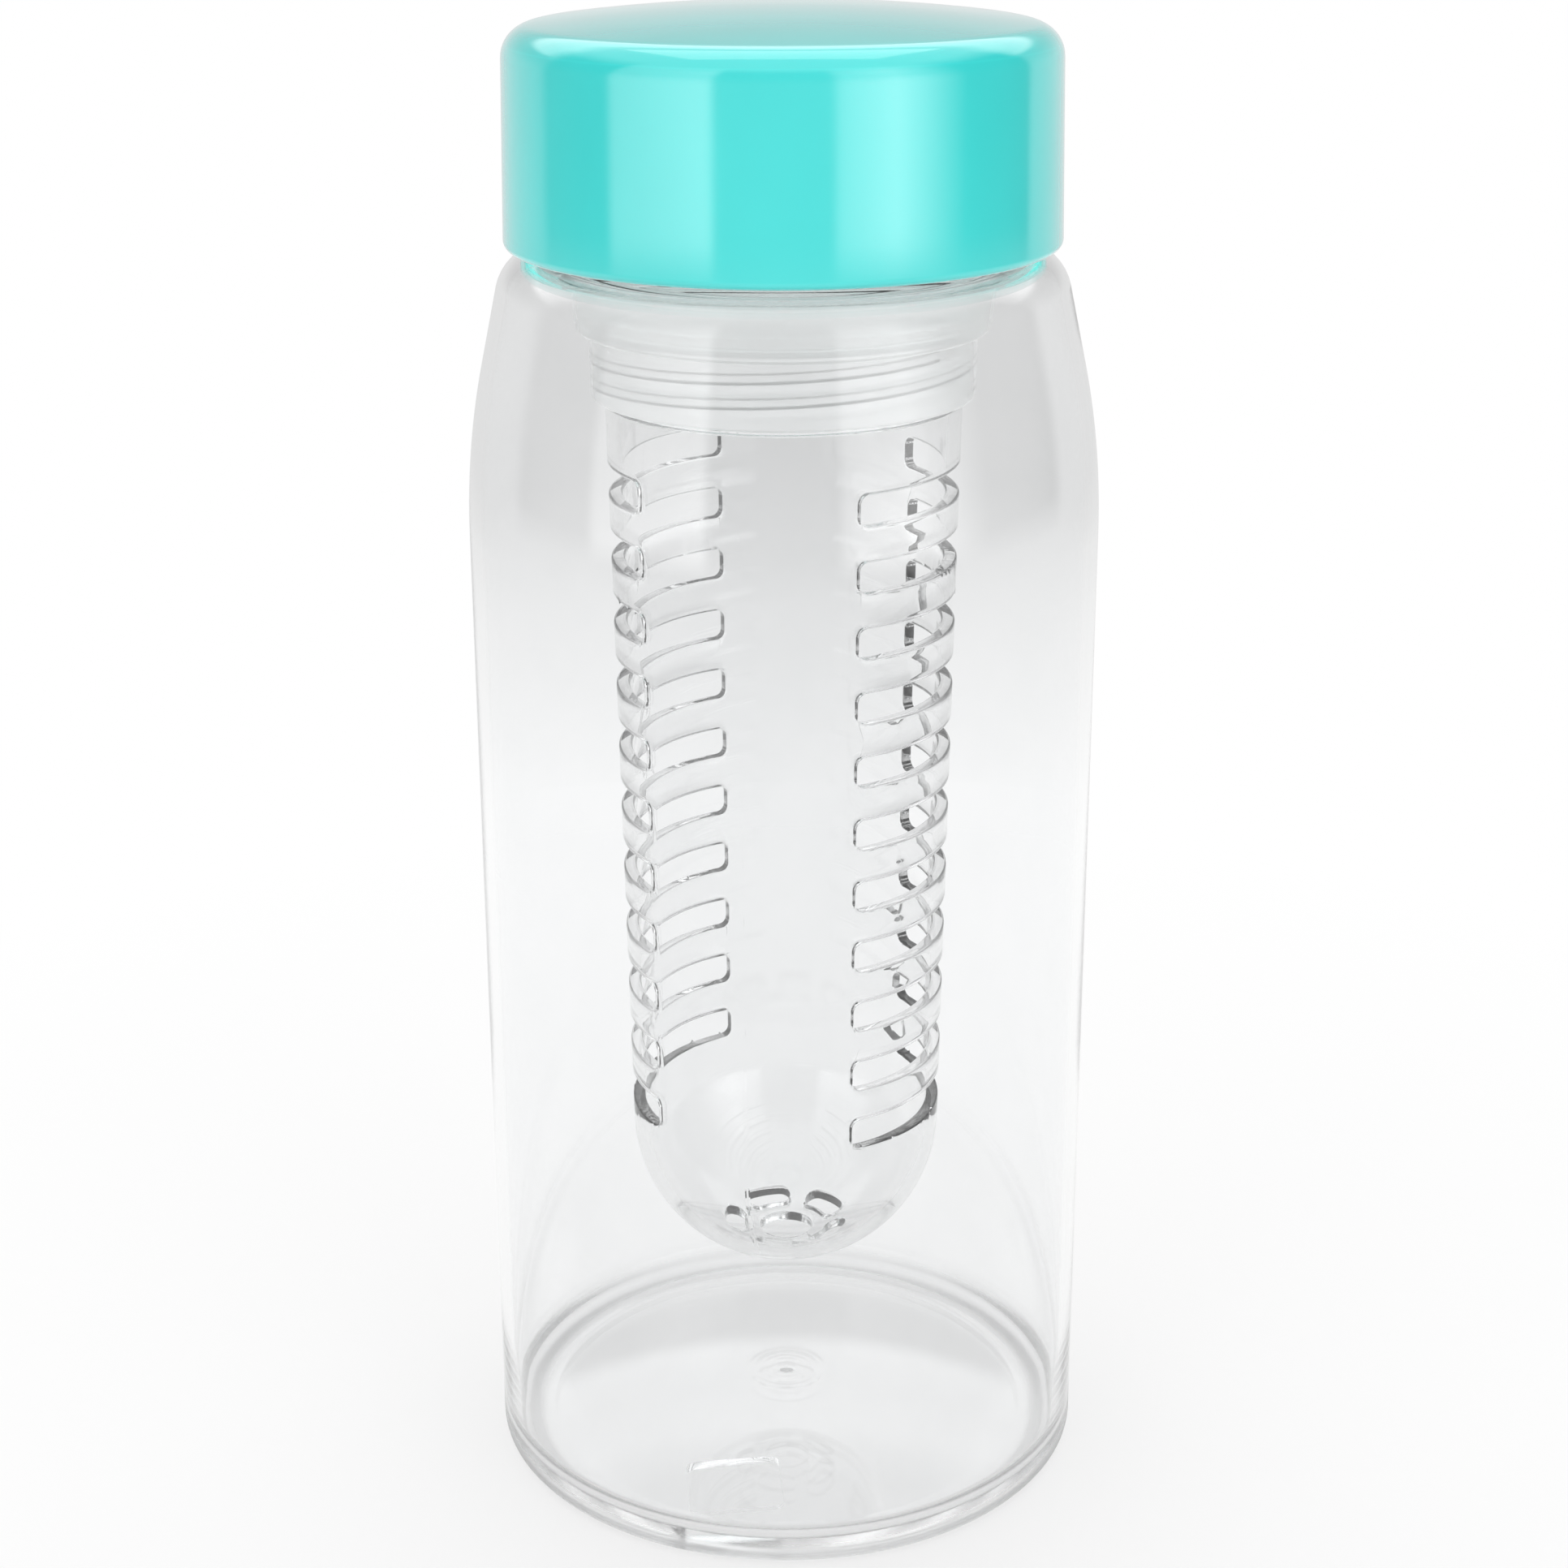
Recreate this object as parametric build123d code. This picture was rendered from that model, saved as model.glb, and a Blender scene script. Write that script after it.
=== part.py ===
"""Fruit infuser water bottle: a clear bottle, a slotted infuser basket in its holder, and a screw lid.

Lengths are millimetres. Z points up and the origin is the centre of the footprint.
Azimuths turn from the front (-Y) towards +X.
Screw threads are left out of these solids: a threaded face is a plain cylinder, at the thread's root
on an outer thread and at the thread's crest on an inner one.
"""
import os
from math import asin, atan, atan2, cos, degrees, tan

from build123d import *

# Bottle body
body_radius = 40.5
body_wall = 1.6
shoulder_height = 166.5
shoulder_taper_height = 24.9
shoulder_ledge_width = 5.7
shoulder_blend = 100.0
shoulder_corner = 5.8
shoulder_wall = 1.8
heel_round = 2.0
inner_heel_round = 4.0
foot_width = 5.0
push_up = 3.5
floor_wall = 2.4

# Bottle neck
neck_bore_radius = 26.7
neck_wall = 2.7
neck_height = 18.9
neck_root_round = 1.2

# Bare mark moulded into the underside
mark_width = 12.6
mark_length = 9.8
mark_depth = 1.1
mark_round = 1.2
mark_offset_x = -7.0
mark_offset_y = -25.2
mark_turn = 5.0

# Fits between the pieces
plug_clearance = 0.4
thread_clearance = 0.3
seal_clearance = 0.3
press_clearance = 0.15

# Silicone ring under the holder's flange
neck_seal_thickness = 1.2

# Infuser holder, the frosted collar
flange_thickness = 1.8
flange_inset = 0.4
plug_length = 29.9
plug_wall = 1.9
plug_step_round = 0.6
skirt_step = 1.72
skirt_length = 8.5
skirt_wall = 1.68
skirt_round = 0.4
ledge_height = 1.3
ledge_thickness = 1.4
ledge_width = 1.7

# Silicone ring between the basket's rim and the holder's ledge
basket_seal_thickness = 1.0

# Infuser basket
basket_thread_length = 9.5
basket_step = 0.2
basket_taper = 1.75
basket_tube_length = 100.0
basket_wall = 1.65
basket_turn = -13.9

# Slots of the basket
slot_count = 11
slot_height = 4.0
slot_round = 1.5
slot_first_height = 5.0
slot_last_margin = 10.0
slot_half_span = 50.9

# Drain holes of the basket's nose
nose_hole_radius = 3.8
kidney_count = 5
kidney_mid_radius = 7.5
kidney_width = 2.9
kidney_span = 30.0

# Lid
lid_shoulder_gap = 0.5
lid_wall = 2.0
lid_draft = 0.55
lid_top_wall = 4.4
lid_crown = 2.5
lid_edge_round = 4.0
lid_inner_round = 1.6
lid_rim_round = 1.0

# Lid insert, pressed into the lid
insert_thread_room = 1.3
insert_wall = 1.4
insert_roof = 1.6
insert_recess = 1.2
insert_round = 0.8
insert_key_count = 12
insert_key_width = 1.4
insert_key_height = 0.75
gasket_rib_wall = 1.1
gasket_rib_depth = 1.2

# Lid gasket
gasket_thickness = 1.5
gasket_width = 4.3
gasket_inset = 0.1

# How far every cutter runs past the wall that it cuts
overrun = 5.0

# Heights and radii that follow from the sizes above
neck_radius = neck_bore_radius + neck_wall
shoulder_radius = neck_radius + shoulder_ledge_width
shoulder_break_height = shoulder_height - shoulder_taper_height
rim_height = shoulder_height + neck_height
flange_bottom = rim_height + neck_seal_thickness
flange_top = flange_bottom + flange_thickness
plug_radius = neck_bore_radius - plug_clearance
plug_bore_radius = plug_radius - plug_wall
plug_bottom = flange_bottom - plug_length
skirt_radius = plug_radius - skirt_step
skirt_bore_radius = skirt_radius - skirt_wall
basket_thread_radius = skirt_bore_radius - thread_clearance
skirt_bottom = plug_bottom - skirt_length
ledge_bottom = plug_bottom + ledge_height
ledge_top = ledge_bottom + ledge_thickness
ledge_bore_radius = skirt_bore_radius - ledge_width
basket_top = ledge_bottom - basket_seal_thickness
basket_shoulder_height = basket_top - basket_thread_length
basket_shoulder_radius = basket_thread_radius + basket_step
basket_nose_radius = basket_shoulder_radius - basket_taper
nose_centre_height = basket_shoulder_height - basket_tube_length
slot_pitch = (basket_tube_length - slot_first_height - slot_last_margin) / (slot_count - 1)
insert_ceiling = flange_top + gasket_thickness
insert_top = insert_ceiling + insert_roof
insert_bore_radius = neck_radius + insert_thread_room
insert_radius = insert_bore_radius + insert_wall
key_reach = insert_radius + insert_key_height
lid_bore_radius = key_reach + press_clearance
lid_radius = lid_bore_radius + lid_wall
lid_top = insert_top + lid_top_wall
lid_bottom = shoulder_height + lid_shoulder_gap
gasket_radius = neck_radius - gasket_inset
gasket_bore_radius = gasket_radius - gasket_width


def turned(corners, rounds):
    """Revolve a closed outline about Z: (radius, height) corners and the rounding of each one."""
    with BuildPart() as piece:
        with BuildSketch(Plane.XZ):
            with BuildLine():
                FilletPolyline(*corners, radius=rounds, close=True)
            make_face()
        revolve(axis=Axis.Z)
    return piece.part


def flat_ring(inner_radius, outer_radius, bottom, top):
    """A plain washer between two heights."""
    corners = [(inner_radius, bottom), (outer_radius, bottom), (outer_radius, top), (inner_radius, top)]
    return turned(corners, [0, 0, 0, 0])


def under_dome(edge_height, bottom):
    """What lies below the bottle's pushed-up floor when its edge is at the given height."""
    radius = body_radius - heel_round - foot_width
    dome_radius = (radius**2 + push_up**2) / (2 * push_up)
    with BuildPart() as piece:
        with BuildSketch(Plane.XZ):
            with BuildLine():
                dome = JernArc(
                    start=(0, edge_height + push_up),
                    tangent=(1, 0),
                    radius=dome_radius,
                    arc_size=-degrees(asin(radius / dome_radius)),
                )
                Line(dome @ 1, (radius, bottom))
                Line((radius, bottom), (0, bottom))
                Line((0, bottom), dome @ 0)
            make_face()
        revolve(axis=Axis.Z)
    return piece.part


def bottle_body():
    """Blow-moulded bottle: straight wall, tapered shoulder, threaded neck and pushed-up floor."""
    lean = atan((body_radius - shoulder_radius) / (shoulder_height - shoulder_break_height))
    outside = turned(
        [
            (0, 0),
            (body_radius, 0),
            (body_radius, shoulder_break_height),
            (shoulder_radius, shoulder_height),
            (neck_radius, shoulder_height),
            (neck_radius, rim_height),
            (0, rim_height),
        ],
        [0, heel_round, shoulder_blend, shoulder_corner, neck_root_round, 0, 0],
    )
    inner_shoulder_height = shoulder_height - shoulder_wall
    inside = turned(
        [
            (0, floor_wall),
            (body_radius - body_wall, floor_wall),
            (body_radius - body_wall, shoulder_break_height - body_wall * tan(lean / 2)),
            (shoulder_radius + shoulder_wall * tan(lean) - body_wall / cos(lean), inner_shoulder_height),
            (neck_bore_radius, inner_shoulder_height),
            (neck_bore_radius, rim_height + overrun),
            (0, rim_height + overrun),
        ],
        [0, inner_heel_round, shoulder_blend - body_wall, shoulder_corner - body_wall, neck_root_round, 0, 0],
    )
    inside -= under_dome(floor_wall, 0)
    mark = Pos(mark_offset_x, mark_offset_y, 0) * Rot(0, 0, mark_turn) * extrude(
        RectangleRounded(mark_width, mark_length, mark_round), shoulder_height, both=True
    )
    body = outside - inside - under_dome(0, -overrun)
    return body - (mark & under_dome(mark_depth, -overrun))


def neck_seal():
    """Flat silicone ring that the holder's flange presses on the bottle's rim."""
    return flat_ring(plug_radius + seal_clearance, neck_radius - flange_inset, rim_height, flange_bottom)


def infuser_collar():
    """Frosted holder: flange on the neck, plug in the bore, and a threaded skirt for the basket."""
    flange_radius = neck_radius - flange_inset
    corners = [
        (plug_bore_radius, flange_top),
        (plug_bore_radius, ledge_top),
        (ledge_bore_radius, ledge_top),
        (ledge_bore_radius, ledge_bottom),
        (skirt_bore_radius, ledge_bottom),
        (skirt_bore_radius, skirt_bottom),
        (skirt_radius, skirt_bottom),
        (skirt_radius, plug_bottom),
        (plug_radius, plug_bottom),
        (plug_radius, flange_bottom),
        (flange_radius, flange_bottom),
        (flange_radius, flange_top),
    ]
    rounds = [0, 0, 0, 0, 0, 0, skirt_round, 0, plug_step_round, 0, 0, 0]
    return turned(corners, rounds)


def basket_seal():
    """Thin silicone ring against the ledge that the basket's rim tightens on."""
    return flat_ring(ledge_bore_radius, basket_thread_radius, basket_top, ledge_bottom)


def basket_shell():
    """Tapered tube with a round nose below and a threaded rim above, before the openings are cut."""
    nose = Pos(0, 0, nose_centre_height)
    outside = nose * Sphere(basket_nose_radius) + turned(
        [
            (0, nose_centre_height),
            (basket_nose_radius, nose_centre_height),
            (basket_shoulder_radius, basket_shoulder_height),
            (basket_thread_radius, basket_shoulder_height),
            (basket_thread_radius, basket_top),
            (0, basket_top),
        ],
        [0, 0, 0, 0, 0, 0],
    )
    inside = nose * Sphere(basket_nose_radius - basket_wall) + turned(
        [
            (0, nose_centre_height),
            (basket_nose_radius - basket_wall, nose_centre_height),
            (basket_thread_radius - basket_wall, basket_shoulder_height),
            (basket_thread_radius - basket_wall, basket_top + overrun),
            (0, basket_top + overrun),
        ],
        [0, 0, 0, 0, 0],
    )
    return outside - inside


def slot_cutters():
    """Ring pieces with rounded ends that cut each slot square to the wall, one on either side."""
    near, far = basket_nose_radius - 2 * basket_wall, basket_shoulder_radius + basket_wall
    with BuildPart() as sector:
        with BuildSketch(Plane.XZ):
            with Locations(((near + far) / 2, 0)):
                Rectangle(far - near, slot_height)
        revolve(axis=Axis.Z, revolution_arc=2 * slot_half_span)
        ends = sector.edges().filter_by(GeomType.LINE).filter_by(Axis.Z, reverse=True)
        fillet(ends, slot_round)
    box = sector.part.bounding_box()
    middle = degrees(atan2(box.center().Y, box.center().X))
    cutters = []
    for step in range(slot_count):
        height = nose_centre_height + slot_first_height + step * slot_pitch
        for facing in (0, 180):
            cutters.append(Pos(0, 0, height) * Rot(0, 0, facing - middle) * sector.part)
    return cutters


def drain_cutters():
    """Round hole in the middle of the nose and kidney holes round it, cut straight down."""
    cutters = [Cylinder(nose_hole_radius, 2 * basket_nose_radius)]
    for step in range(kidney_count):
        turn = -90 + step * 360 / kidney_count
        middle = CenterArc((0, 0), kidney_mid_radius, turn - kidney_span / 2, kidney_span)
        cutters.append(extrude(SlotArc(middle, kidney_width), basket_nose_radius, both=True))
    floor_height = nose_centre_height - basket_nose_radius
    return [Pos(0, 0, floor_height) * cutter for cutter in cutters]


def infuser_basket():
    """Basket with eleven slots down each side and drain holes in its nose."""
    basket = basket_shell()
    for cutter in slot_cutters() + drain_cutters():
        basket -= cutter
    return Rot(0, 0, basket_turn) * basket


def lid_gasket():
    """Flat silicone ring that seals the lid on the holder's flange."""
    return flat_ring(gasket_bore_radius, gasket_radius, flange_top, insert_ceiling)


def lid_insert():
    """Inner cap with the bottle's thread, a rib that centres the gasket and keys that grip the lid."""
    bottom = lid_bottom + insert_recess
    cap = turned(
        [
            (0, insert_top),
            (insert_radius, insert_top),
            (insert_radius, bottom),
            (insert_bore_radius, bottom),
            (insert_bore_radius, insert_ceiling),
            (0, insert_ceiling),
        ],
        [0, lid_inner_round, 0, 0, insert_round, 0],
    )
    rib_radius = gasket_bore_radius - seal_clearance
    cap += flat_ring(
        rib_radius - gasket_rib_wall, rib_radius, insert_ceiling - gasket_rib_depth, insert_ceiling
    )
    key_top = insert_top - 2 * lid_inner_round
    key = extrude(
        Plane.XY.offset(bottom)
        * Pos((insert_bore_radius + insert_wall / 2 + key_reach) / 2, 0, 0)
        * Rectangle(key_reach - insert_bore_radius - insert_wall / 2, insert_key_width),
        key_top - bottom,
    )
    for step in range(insert_key_count):
        cap += Rot(0, 0, step * 360 / insert_key_count) * key
    return cap


def lid_shell():
    """Glossy outer cap of the lid, with a slightly domed top."""
    edge_radius, edge_height = lid_radius - lid_draft, lid_top - lid_crown
    with BuildPart() as piece:
        with BuildSketch(Plane.XZ):
            with BuildLine():
                crown = ThreePointArc(
                    (0, lid_top), (edge_radius / 2, lid_top - lid_crown / 4), (edge_radius, edge_height)
                )
                Line(crown @ 1, (lid_radius, lid_bottom))
                Line((lid_radius, lid_bottom), (lid_bore_radius, lid_bottom))
                Line((lid_bore_radius, lid_bottom), (lid_bore_radius, insert_top))
                Line((lid_bore_radius, insert_top), (0, insert_top))
                Line((0, insert_top), (0, lid_top))
            make_face()
            for corner, radius in (
                ((edge_radius, edge_height), lid_edge_round),
                ((lid_radius, lid_bottom), lid_rim_round),
                ((lid_bore_radius, insert_top), lid_inner_round),
            ):
                fillet(vertices().sort_by_distance(corner)[0], radius)
        revolve(axis=Axis.Z)
    return piece.part


pieces = {
    "bottle_body": bottle_body,
    "neck_seal": neck_seal,
    "infuser_collar": infuser_collar,
    "basket_seal": basket_seal,
    "infuser_basket": infuser_basket,
    "lid_gasket": lid_gasket,
    "lid_insert": lid_insert,
    "lid_shell": lid_shell,
}

os.makedirs("parts", exist_ok=True)
for name, build_piece in pieces.items():
    export_step(build_piece(), f"parts/{name}.step")
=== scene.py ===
"""Looks of a fruit infuser water bottle: clear bottle and basket, frosted holder, turquoise lid."""
from math import atan, ceil, cos, pi, radians, sin, sqrt, tan

import bpy
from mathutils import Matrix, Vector


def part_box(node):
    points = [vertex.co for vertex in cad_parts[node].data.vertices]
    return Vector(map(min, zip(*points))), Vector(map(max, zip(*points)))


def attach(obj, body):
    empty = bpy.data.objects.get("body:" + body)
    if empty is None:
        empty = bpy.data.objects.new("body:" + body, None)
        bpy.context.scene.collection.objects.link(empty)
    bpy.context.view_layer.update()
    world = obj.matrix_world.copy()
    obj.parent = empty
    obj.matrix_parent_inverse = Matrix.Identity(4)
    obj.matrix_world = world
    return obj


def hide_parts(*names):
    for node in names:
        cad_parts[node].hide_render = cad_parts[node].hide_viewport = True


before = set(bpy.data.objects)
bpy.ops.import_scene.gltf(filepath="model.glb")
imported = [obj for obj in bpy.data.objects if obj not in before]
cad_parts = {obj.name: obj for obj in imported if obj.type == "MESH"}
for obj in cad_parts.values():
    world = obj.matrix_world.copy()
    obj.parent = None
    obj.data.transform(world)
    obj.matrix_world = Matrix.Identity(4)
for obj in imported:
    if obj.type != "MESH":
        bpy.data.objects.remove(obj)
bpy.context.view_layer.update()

# Everything is in metres, so a size in millimetres is written times mm.
mm = 0.001

# Places read from the frame
body_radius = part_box("bottle_body")[1].x
rim_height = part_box("bottle_body")[1].z
flange_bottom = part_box("neck_seal")[1].z
flange_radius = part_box("infuser_collar")[1].x
flange_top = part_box("infuser_collar")[1].z
skirt_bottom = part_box("infuser_collar")[0].z
basket_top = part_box("basket_seal")[0].z
ledge_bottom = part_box("basket_seal")[1].z
basket_thread_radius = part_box("basket_seal")[1].x
nose_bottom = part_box("infuser_basket")[0].z
gasket_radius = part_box("lid_gasket")[1].x
insert_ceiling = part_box("lid_gasket")[1].z
insert_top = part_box("lid_insert")[1].z
insert_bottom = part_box("lid_insert")[0].z
key_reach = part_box("lid_insert")[1].x
lid_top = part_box("lid_shell")[1].z
lid_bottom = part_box("lid_shell")[0].z

# Bottle
body_wall = 1.6 * mm
shoulder_height = 166.5 * mm
shoulder_radius = 35.1 * mm
shoulder_taper_height = 24.9 * mm
shoulder_blend = 100.0 * mm
shoulder_corner = 5.8 * mm
shoulder_wall = 1.8 * mm
heel_round = 2.0 * mm
inner_heel_round = 4.0 * mm
foot_radius = 33.5 * mm
foot_round = 1.5 * mm
push_up = 3.5 * mm
dome_radius = (foot_radius**2 + push_up**2) / (2 * push_up)
dome_edge_radius = 31.0 * mm
floor_wall = 2.4 * mm
neck_bore_radius = 26.7 * mm
neck_radius = 29.4 * mm
neck_root_round = 1.0 * mm
neck_rim_round = 0.5 * mm
mark_size = (12.6 * mm, 9.8 * mm)
mark_place = (-7.0 * mm, -25.2 * mm)
mark_turn = radians(5)
mark_depth = 1.1 * mm
mark_round = 1.2 * mm
gate_nub_radius = 1.4 * mm
gate_nub_height = 0.3 * mm
# Radius and height of each ring round the gate
gate_rings = [(3.0 * mm, 0.06 * mm), (5.0 * mm, 0.09 * mm)]
gate_ring_width = 0.9 * mm

# Holder and its seals
plug_radius = 26.3 * mm
neck_seal_bore_radius = plug_radius + 0.3 * mm
neck_seal_round = 0.35 * mm
basket_seal_round = 0.3 * mm
plug_bore_radius = 24.4 * mm
plug_bottom = 156.7 * mm
ledge_top = ledge_bottom + 1.4 * mm
ledge_bore_radius = 21.2 * mm
skirt_bore_radius = 22.9 * mm
skirt_root_radius = skirt_bore_radius + 0.55 * mm
skirt_crest_radius = skirt_bore_radius + 0.05 * mm
skirt_radius = 24.58 * mm

# Basket
nose_hole_radius = 3.8 * mm
nose_radius = 21.05 * mm
nose_height = nose_bottom + sqrt(nose_radius**2 - nose_hole_radius**2)
basket_wall = 1.65 * mm
basket_shoulder_radius = 22.8 * mm
basket_shoulder_height = basket_top - 9.5 * mm
basket_turn = radians(-14.5)
edge_round = 0.28 * mm
slot_count = 11
slot_pitch = 8.5 * mm
slot_height = 4.0 * mm
slot_round = 1.5 * mm
slot_first_height = 5.0 * mm
slot_half_span = radians(50.9)
kidney_count = 5
kidney_mid_radius = 7.5 * mm
kidney_width = 2.9 * mm
kidney_span = radians(30)

# Lid
lid_foot_radius = 35.0 * mm
lid_bore_radius = 33.0 * mm
lid_draft = 0.55 * mm
lid_crown = 2.5 * mm
lid_edge_round = 4.0 * mm
lid_rim_round = 1.0 * mm
lid_bore_round = 0.4 * mm
lid_ceiling_round = 1.6 * mm
insert_bore_radius = 30.7 * mm
insert_radius = 32.1 * mm
key_count = 12
key_width = 1.4 * mm
key_bevel = 0.25 * mm
key_root_radius = insert_bore_radius + 0.7 * mm
key_bottom = insert_bottom + 0.1 * mm
key_length = insert_top - insert_bottom - 3.4 * mm
gasket_bore_radius = 25.0 * mm
gasket_round = 0.4 * mm
gasket_rib_radius = gasket_bore_radius - 0.3 * mm
gasket_rib_wall = 1.1 * mm
gasket_rib_depth = 1.2 * mm

# Threads: each pair of widths is the ridge's at its root and at its crest
lid_thread_lead = 4.0 * mm
lid_thread_turns = 2.25
lid_thread_start = radians(20)
lid_thread_depth = 1.0 * mm
lid_thread_widths = (2.2 * mm, 0.9 * mm)
neck_thread_bottom = 170.0 * mm
insert_thread_bottom = 171.9 * mm
basket_thread_lead = 6.0 * mm
basket_thread_turns = 0.9
basket_thread_start = radians(60)
basket_thread_depth = 0.22 * mm
basket_thread_widths = (1.3 * mm, 0.5 * mm)
basket_thread_bottom = basket_shoulder_height + 1.2 * mm
holder_thread_turns = 0.95
holder_thread_start = radians(-20)
holder_thread_widths = (1.5 * mm, 0.7 * mm)
holder_thread_bottom = skirt_bottom + 0.9 * mm
# How deep a ridge is sunk into the wall that carries it
thread_sink = 0.3 * mm

# How finely the meshes are made: points nearer than the weld gap are one point, where a cut has
# left slivers that the rounding of its edges can't use
merge_gap = 0.001 * mm
weld_gap = 0.04 * mm
round_step_angle = radians(9)
round_step_length = 1.5 * mm

# Colours: the lower and upper end of each material's clouds
bottle_tint = ((0.955, 0.96, 0.962), (0.975, 0.978, 0.98))
basket_tint = ((0.976, 0.979, 0.98), (0.99, 0.991, 0.992))
basket_depth_grey = (0.5, 0.5, 0.5, 1)
basket_depth_density = 36
milk_tint = ((0.93, 0.945, 0.95), (0.97, 0.98, 0.985))
# Painted shade for the flanks of the holder's thread
painted_thread_shade_grey = (0.22, 0.23, 0.235, 1)
silicone_tint = ((0.8, 0.82, 0.82), (0.88, 0.895, 0.9))
insert_tint = ((0.78, 0.8, 0.8), (0.84, 0.855, 0.855))
turquoise_tint = ((0.040, 0.715, 0.69), (0.054, 0.77, 0.745))

# Camera, fitted to the photograph
photo_size = 1932
focal_pixels = 3574.1
camera_pitch = 0.3452758
camera_distance = 364.974 * mm
camera_height = 226.148 * mm
camera_roll = radians(-0.17)
camera_shift = -1 / photo_size

# Table top: it keeps a shadow near the object, where its glow is the shares for rays from the
# camera, through clear plastic and off a glossy skin, and glows fully where the fade ends
floor_radius = 0.27
floor_fade = (0.05, floor_radius - 0.03)
floor_near_glow = (0.72, 0.75, 0.75)
floor_grey = (0.86, 0.86, 0.86, 1)

# Studio: azimuths in degrees from -Y towards +X, and how bright each panel or gap is there
studio_panels = [
    (-120, 0.76), (-114, 0.7), (-108, 0.3), (-75, 0.3), (-71, 1.5), (-30, 2.4), (-26, 0.6),
    (19, 0.6), (23, 1.8), (46, 3.0), (70, 0.8), (78, 0.2), (115, 0.2), (120, 0.76),
]
# A ramp's colours end at 1, so the panels are kept in it as shares of this brightness
panel_scale = 4.0
# How much of the panels' light is left well above the horizon
panel_top_share = 0.7
overhead_light = 1.0
# A strip light high up behind the object
strip_light = 0.9
# The backdrop below the panels: the sine of the downward angle, and how bright it is there
backdrop = [(0.0, 0.74), (0.2, 0.75), (0.24, 0.79), (0.28, 0.89), (0.31, 0.94), (0.34, 0.99)]
# Where one light fades into the next, as parts of a ray's direction: up, down or backwards
panel_fade = (0.05, 0.3)
backdrop_fade = (0.15, 0.21)
overhead_fade = (0.55, 0.75)
strip_lower_fade = (0.38, 0.44)
strip_upper_fade = (0.66, 0.76)
strip_behind_fade = (0.35, 0.5)
lamp_aim = Vector((0, 0, 0.11))


def pick(*pieces):
    """Select these pieces alone, the first one active."""
    bpy.ops.object.select_all(action="DESELECT")
    for piece in pieces:
        piece.select_set(True)
    bpy.context.view_layer.objects.active = pieces[0]


def open_mesh():
    """Enter edit mode with everything selected."""
    bpy.ops.object.mode_set(mode="EDIT")
    bpy.ops.mesh.select_all(action="SELECT")


def close_mesh(merge=False):
    """Turn all faces outwards, after merging doubles where asked, and leave edit mode."""
    bpy.ops.mesh.select_all(action="SELECT")
    if merge:
        bpy.ops.mesh.remove_doubles(threshold=merge_gap)
    bpy.ops.mesh.normals_make_consistent(inside=False)
    bpy.ops.object.mode_set(mode="OBJECT")


def apply_modifier(piece, name, kind, **settings):
    """Give the active piece a modifier with these settings and apply it at once."""
    change = piece.modifiers.new(name, kind)
    for setting, value in settings.items():
        setattr(change, setting, value)
    bpy.ops.object.modifier_apply(modifier=change.name)


def use_tool(piece, tool, operation):
    """Join a tool to a piece, or cut it away."""
    pick(piece)
    apply_modifier(piece, "tool", "BOOLEAN", operation=operation, solver="EXACT", object=tool)
    bpy.data.objects.remove(tool)


def move_mesh(piece, angle=0.0, axis="Z", shift=(0, 0, 0)):
    """Turn a piece's mesh about the origin and shift it, leaving its object where it is."""
    pick(piece)
    open_mesh()
    if angle:
        bpy.ops.transform.rotate(value=-angle, orient_axis=axis, center_override=(0, 0, 0))
    bpy.ops.transform.translate(value=shift)
    bpy.ops.object.mode_set(mode="OBJECT")


def joined(pieces):
    """One object out of several."""
    pick(*pieces)
    bpy.ops.object.join()
    return pieces[0]


def smooth(piece, angle):
    """Smooth shading that keeps the corners crisp."""
    pick(piece)
    bpy.ops.object.shade_smooth_by_angle(angle=radians(angle))


def draw(name, points, closed):
    """A new object in edit mode: a line through the points, drawn by extruding one vertex."""
    bpy.ops.object.select_all(action="DESELECT")
    bpy.ops.mesh.primitive_plane_add(size=mm, location=(0, 0, 0))
    piece = bpy.context.object
    piece.name = piece.data.name = name
    bpy.ops.object.mode_set(mode="EDIT")
    bpy.ops.mesh.merge(type="CENTER")
    bpy.ops.transform.translate(value=points[0])
    path = points + [points[0]] if closed else points
    for here, there in zip(path, path[1:]):
        step = [b - a for a, b in zip(here, there)]
        bpy.ops.mesh.extrude_region_move(TRANSFORM_OT_translate={"value": step})
    bpy.ops.mesh.select_all(action="SELECT")
    bpy.ops.mesh.remove_doubles(threshold=merge_gap)
    return piece


def arc_points(middle, radius, start, end, steps):
    """Points on a circle from one angle to another."""
    angles = [start + (end - start) * step / steps for step in range(steps + 1)]
    return [(middle[0] + radius * cos(angle), middle[1] + radius * sin(angle)) for angle in angles]


def rounded(corners, rounds):
    """An outline of (radius, height) corners with some of them rounded."""
    points = []
    for index, (corner, radius) in enumerate(zip(corners, rounds)):
        if not radius:
            points.append(corner)
            continue
        here = Vector(corner)
        back = (Vector(corners[index - 1]) - here).normalized()
        ahead = (Vector(corners[(index + 1) % len(corners)]) - here).normalized()
        half = back.angle(ahead) / 2
        middle = here + (back + ahead).normalized() * (radius / sin(half))
        first = here + back * (radius / tan(half)) - middle
        last = here + ahead * (radius / tan(half)) - middle
        sweep = pi - 2 * half
        steps = max(ceil(sweep / round_step_angle), ceil(radius * sweep / round_step_length))
        for step in range(steps + 1):
            share = step / steps
            spoke = (first * sin((1 - share) * sweep) + last * sin(share * sweep)) / sin(sweep)
            points.append(tuple(middle + spoke))
    return points


def divided(points, longest):
    """The same open outline with its long straight stretches divided."""
    path = []
    for here, there in zip(points, points[1:]):
        parts = max(1, ceil((Vector(there) - Vector(here)).length / longest))
        path += [tuple(Vector(here).lerp(Vector(there), part / parts)) for part in range(parts)]
    return path + [points[-1]]


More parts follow.
